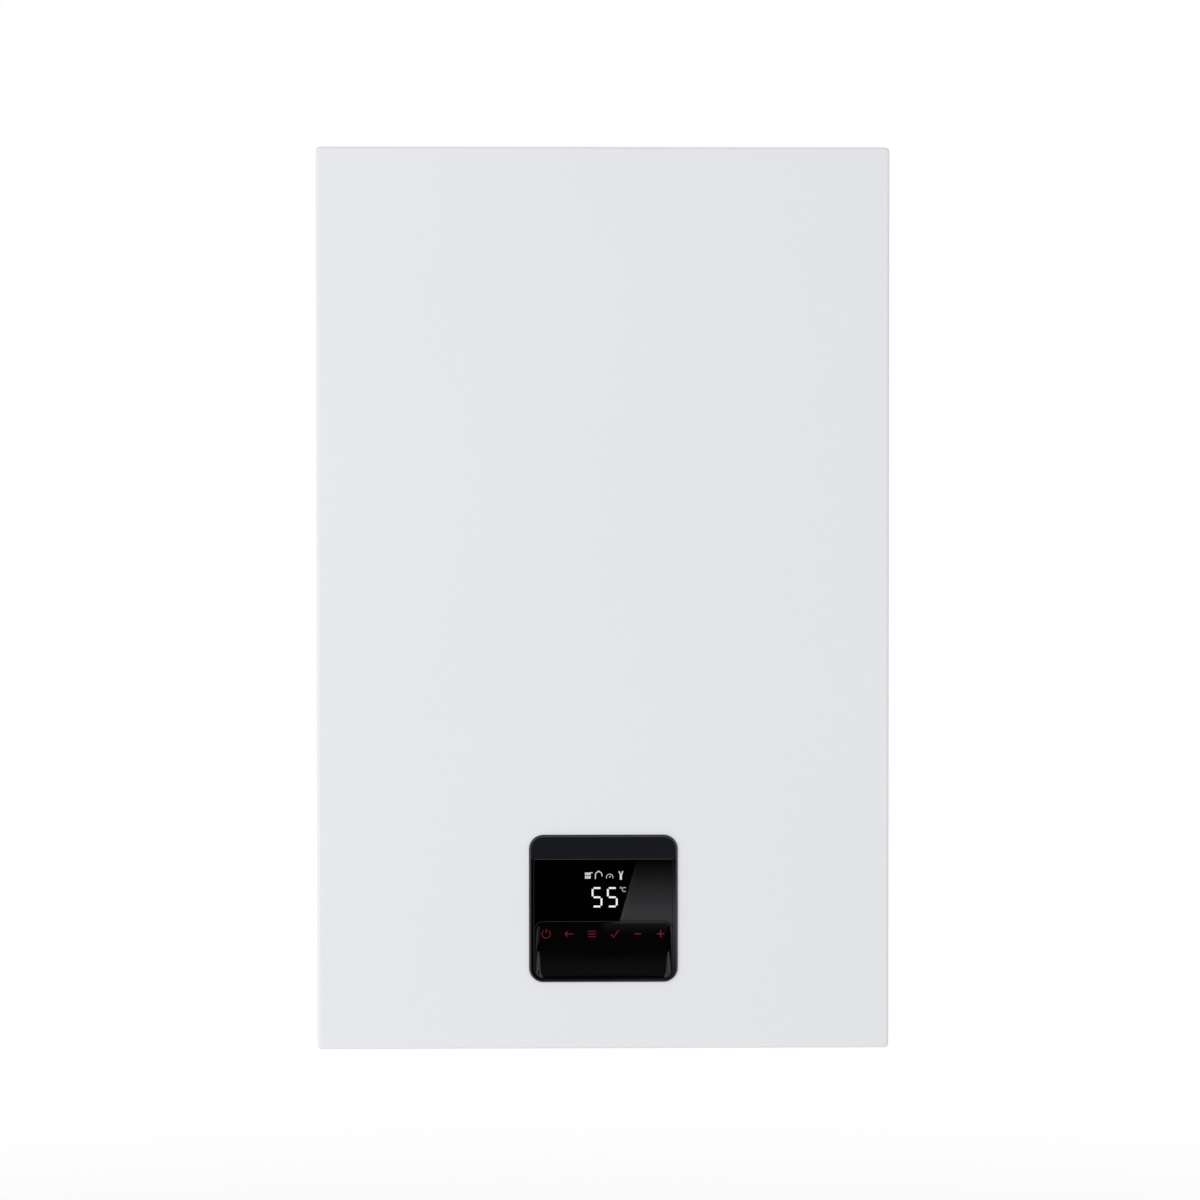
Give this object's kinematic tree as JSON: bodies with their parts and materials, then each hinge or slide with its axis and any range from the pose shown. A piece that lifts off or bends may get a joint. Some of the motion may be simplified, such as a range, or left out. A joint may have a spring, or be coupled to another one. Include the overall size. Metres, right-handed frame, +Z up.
{
  "type": "combi boiler",
  "caption": "Wall-hung white box boiler with a lift-off front cover, a black control panel on a fold-down electronics box, and the heat cell, fan, pump and pipework inside.",
  "frame": {"origin": "on the wall plane, in the middle of the hanging line of the wall bracket, 590 mm above the bottom of the casing", "axes": "+Z up, +X to the right seen from the front, the front faces -Y and the wall is the plane Y = 0"},
  "size_m": [0.4, 0.272, 0.63],
  "materials": {
    "white_powder_coat": "satin white powder coat",
    "galvanised_sheet": "galvanised sheet steel",
    "steel_fastener": "zinc plated steel",
    "stainless": "stainless steel",
    "cast_aluminium": "die cast aluminium",
    "copper_pipe": "bare copper",
    "brass": "machined brass",
    "vessel_red": "red enamel",
    "motor_black": "black paint",
    "black_plastic": "fine textured black plastic",
    "satin_black": "satin black plastic",
    "gloss_black": "high gloss black plastic",
    "window_black": "smoked glossy display window",
    "grey_composite": "glass filled grey plastic",
    "white_plastic": "white plastic",
    "grey_foam": "closed cell foam",
    "black_rubber": "black rubber",
    "fibre_board": "ceramic fibre",
    "white_ceramic": "glazed ceramic",
    "circuit_board": "green solder mask",
    "red_knob": "red plastic",
    "blue_knob": "blue plastic"
  },
  "bodies": {
    "casing": {"air_silencer": "black_plastic", "air_vent_body": "brass", "bottom_plate": "galvanised_sheet", "burner_door": "cast_aluminium", "burner_tube": "stainless", "casing_screws": "steel_fastener", "casing_seal": "grey_foam", "cold_inlet_manifold": "grey_composite", "condensate_hose": "black_rubber", "condensate_trap": "white_plastic", "connection_nipples": "brass", "cross_rail": "galvanised_sheet", "diverter_actuator": "black_plastic", "door_bolts": "steel_fastener", "door_insulation": "fibre_board", "expansion_diaphragm": "black_rubber", "expansion_hose": "black_rubber", "expansion_vessel": "vessel_red", "fan_housing": "cast_aluminium", "fan_motor": "motor_black", "flow_manifold": "grey_composite", "flow_pipe": "copper_pipe", "flue_collar": "cast_aluminium", "flue_duct": "white_plastic", "gas_pipe": "copper_pipe", "gas_valve_body": "cast_aluminium", "gas_valve_coils": "motor_black", "heat_exchanger_coil": "stainless", "heat_exchanger_shell": "grey_composite", "hinge_brackets": "galvanised_sheet", "ignition_electrode": "white_ceramic", "plate_heat_exchanger": "stainless", "pump_housing": "grey_composite", "pump_motor": "motor_black", "rear_frame": "galvanised_sheet", "return_pipe": "copper_pipe", "safety_valve_body": "brass", "side_panel_left": "white_powder_coat", "side_panel_right": "white_powder_coat", "top_plate": "white_powder_coat", "venturi": "cast_aluminium", "wall_bracket": "galvanised_sheet"},
    "cover": {"front_cover": "white_powder_coat", "cover_screws": "steel_fastener"},
    "electronics_box": {"electronics_tray": "black_plastic", "electronics_lid": "black_plastic", "main_board": "circuit_board", "cable_grommets": "black_rubber", "display_bezel": "satin_black", "display_window": "window_black", "key_panel": "gloss_black", "display_board": "circuit_board"},
    "fan_rotor": {"fan_impeller": "stainless"},
    "pump_rotor": {"pump_impeller": "white_plastic"},
    "turbine": {"flow_turbine": "white_plastic"},
    "diverter_stem": {"diverter_spindle": "stainless"},
    "gas_plunger": {"gas_valve_plunger": "stainless"},
    "filling_knob": {"filling_tap_knob": "blue_knob"},
    "relief_knob": {"safety_valve_knob": "red_knob"},
    "vent_float": {"air_vent_float": "white_plastic"}
  },
  "joints": [
    {"name": "cover_removal", "type": "slide", "parent": "casing", "child": "cover", "axis": [0, -1, 0], "range_m": [0, 0.35]},
    {"name": "box_fold", "type": "hinge", "parent": "casing", "child": "electronics_box", "pos_m": [0, -0.254, -0.538], "axis": [1, 0, 0], "range_deg": [0, 85]},
    {"name": "fan_spin", "type": "hinge", "parent": "casing", "child": "fan_rotor", "pos_m": [-0.125, -0.165, -0.16], "axis": [0, 0, 1], "continuous": true},
    {"name": "pump_spin", "type": "hinge", "parent": "casing", "child": "pump_rotor", "pos_m": [0.125, -0.14, -0.44], "axis": [0, -1, 0], "continuous": true},
    {"name": "turbine_spin", "type": "hinge", "parent": "casing", "child": "turbine", "pos_m": [0.065, -0.125, -0.509], "axis": [0, 0, 1], "continuous": true},
    {"name": "diverter_travel", "type": "slide", "parent": "casing", "child": "diverter_stem", "axis": [0, 0, 1], "range_m": [0, 0.006]},
    {"name": "gas_valve_travel", "type": "slide", "parent": "casing", "child": "gas_plunger", "axis": [0, -1, 0], "range_m": [0, 0.0025]},
    {"name": "filling_tap_turn", "type": "hinge", "parent": "casing", "child": "filling_knob", "pos_m": [0.0975, -0.125, -0.565], "axis": [0, 0, 1], "range_deg": [0, 90]},
    {"name": "relief_turn", "type": "hinge", "parent": "casing", "child": "relief_knob", "pos_m": [0.178, -0.125, -0.47], "axis": [0, 0, 1], "range_deg": [0, 90]},
    {"name": "vent_float_rise", "type": "slide", "parent": "casing", "child": "vent_float", "axis": [0, 0, 1], "range_m": [0, 0.008]}
  ],
  "couplings": [
    {"joint": "box_fold", "follows": "cover_removal", "rad_per_m": 4.2387}
  ]
}
